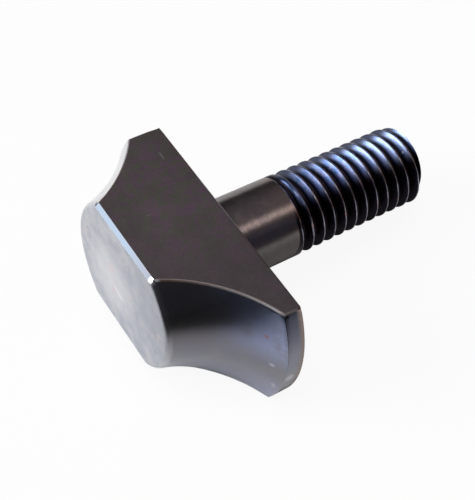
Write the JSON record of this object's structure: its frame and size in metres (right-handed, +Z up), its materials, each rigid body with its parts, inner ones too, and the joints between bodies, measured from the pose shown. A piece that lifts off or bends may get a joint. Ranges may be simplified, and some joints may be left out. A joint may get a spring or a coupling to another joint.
{
  "type": "thumb screw",
  "caption": "Thumb screw turned from one piece: flared head with two milled flats, plain shank and coarse right-hand thread with a chamfered tip.",
  "frame": {"origin": "centre of the head's bearing face, on the screw's axis", "axes": "+Z up as the screw lies at rest; the screw's axis is in the XZ plane and its thread points to +X, 6.7 degrees below it, because the screw rests on its head's lower flat and its tip"},
  "size_m": [0.0325, 0.0267, 0.0139],
  "materials": {
    "blackened_steel": "black oxide, with a bare faced end"
  },
  "bodies": {
    "root": {"thumb_screw": "blackened_steel"}
  },
  "joints": []
}
